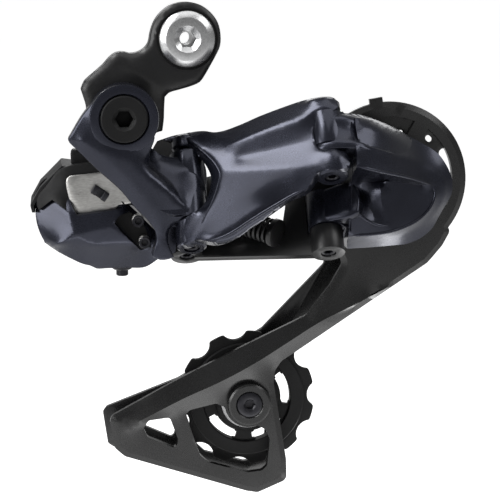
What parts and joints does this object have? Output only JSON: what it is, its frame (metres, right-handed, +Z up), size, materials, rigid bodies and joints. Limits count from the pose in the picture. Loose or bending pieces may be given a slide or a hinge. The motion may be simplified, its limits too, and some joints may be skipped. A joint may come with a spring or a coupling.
{
  "type": "rear derailleur",
  "caption": "Electronically shifted rear derailleur with slanted parallelogram, faceted motor unit, sprung cage and two toothed pulleys",
  "frame": {"origin": "on the axis of the mounting thread, at the hanger's face", "axes": "X forward, Y inboard towards the wheel, Z up"},
  "size_m": [0.1457, 0.0554, 0.1667],
  "materials": {
    "satin_silver": "satin turned steel",
    "dark_steel": "blackened steel, semi gloss",
    "bright_steel": "bright rolled steel",
    "satin_black": "satin black anodised",
    "anthracite_gloss": "gloss metallic anthracite",
    "black_plastic": "moulded satin",
    "black_rubber": "matt",
    "bronze": "sintered",
    "motor_case": "drawn steel can",
    "gear_brass": "cut",
    "board_green": "lacquered board",
    "black_wire": "black coated wire",
    "cage_black": "satin black",
    "pulley_black": "moulded matt",
    "cap_grey": "dark grey pressed caps"
  },
  "bodies": {
    "mount": {"mounting_bolt": "satin_silver", "retaining_ring": "dark_steel"},
    "bracket": {"bracket_link": "satin_black", "stop_screw": "dark_steel", "axle_bolt": "dark_steel"},
    "base": {"axle_bush": "bronze", "base_knuckle": "anthracite_gloss", "motor_housing": "anthracite_gloss", "motor_cover": "black_plastic", "cover_gasket": "black_rubber", "heat_plate": "bright_steel", "plate_clip": "bright_steel", "motor": "motor_case", "gear_shaft": "bright_steel", "control_board": "board_green", "wire_socket": "black_plastic", "limit_screws": "dark_steel", "limit_springs": "bright_steel", "housing_screws": "dark_steel", "drain_plug": "dark_steel"},
    "worm": {"motor_worm": "gear_brass"},
    "gear": {"drive_gear": "gear_brass"},
    "outer_arm": {"outer_link": "anthracite_gloss", "outer_pin_rear": "bright_steel", "outer_pin_front": "bright_steel"},
    "inner_arm": {"inner_link": "satin_black", "inner_pin_rear": "bright_steel", "inner_pin_front": "bright_steel", "link_spring": "black_wire", "pin_clips": "bright_steel"},
    "knuckle": {"pulley_knuckle": "anthracite_gloss", "knuckle_bush": "bronze", "cage_spring": "bright_steel", "axle_seal": "black_rubber"},
    "cage": {"cage_axle": "bright_steel", "outer_plate": "cage_black", "stop_pin": "bright_steel", "inner_plate": "cage_black", "guide_bolt": "dark_steel", "tension_bolt": "dark_steel", "guide_caps": "cap_grey", "tension_caps": "cap_grey"},
    "upper_wheel": {"guide_pulley": "pulley_black", "guide_bearing": "bright_steel"},
    "lower_wheel": {"tension_pulley": "pulley_black", "tension_bearing": "bright_steel"}
  },
  "joints": [
    {"name": "bracket_swing", "type": "hinge", "parent": "mount", "child": "bracket", "pos_m": [0, 0, 0], "axis": [0, -1, 0], "range_deg": [-25, 0]},
    {"name": "body_swing", "type": "hinge", "parent": "bracket", "child": "base", "pos_m": [-0.0208, 0, -0.0243], "axis": [0, -1, 0], "range_deg": [-20, 12]},
    {"name": "outer_fold", "type": "hinge", "parent": "base", "child": "outer_arm", "pos_m": [0, -0.021, -0.0655], "axis": [0, 0.5736, 0.8192], "range_deg": [0, 54]},
    {"name": "inner_fold", "type": "hinge", "parent": "base", "child": "inner_arm", "pos_m": [0, -0.00544, -0.0764], "axis": [0, 0.5736, 0.8192], "range_deg": [0, 54]},
    {"name": "knuckle_fold", "type": "hinge", "parent": "outer_arm", "child": "knuckle", "pos_m": [0.0434, -0.0378, -0.05373], "axis": [0, 0.5736, 0.8192], "range_deg": [-54, 0]},
    {"name": "worm_turn", "type": "hinge", "parent": "base", "child": "worm", "pos_m": [-0.0443, 0.0038, -0.058], "axis": [1, 0, 0], "range_deg": [0, 1080]},
    {"name": "gear_turn", "type": "hinge", "parent": "base", "child": "gear", "pos_m": [-0.0218, 0.0038, -0.066], "axis": [0, -1, 0], "range_deg": [0, 54]},
    {"name": "cage_swing", "type": "hinge", "parent": "knuckle", "child": "cage", "pos_m": [0.0685, 0, -0.04803], "axis": [0, -1, 0], "range_deg": [0, 95], "stiffness_Nm_per_rad": 0.25, "springref_deg": -45.84},
    {"name": "upper_wheel_turn", "type": "hinge", "parent": "cage", "child": "upper_wheel", "pos_m": [0.063, 0.011, -0.05243], "axis": [0, 1, 0], "continuous": true},
    {"name": "lower_wheel_turn", "type": "hinge", "parent": "cage", "child": "lower_wheel", "pos_m": [0.0212, 0.011, -0.12353], "axis": [0, 1, 0], "continuous": true}
  ],
  "couplings": [
    {"joint": "inner_fold", "follows": "outer_fold", "ratio": 1},
    {"joint": "knuckle_fold", "follows": "outer_fold", "ratio": -1},
    {"joint": "gear_turn", "follows": "outer_fold", "ratio": 1},
    {"joint": "worm_turn", "follows": "outer_fold", "ratio": 20}
  ]
}
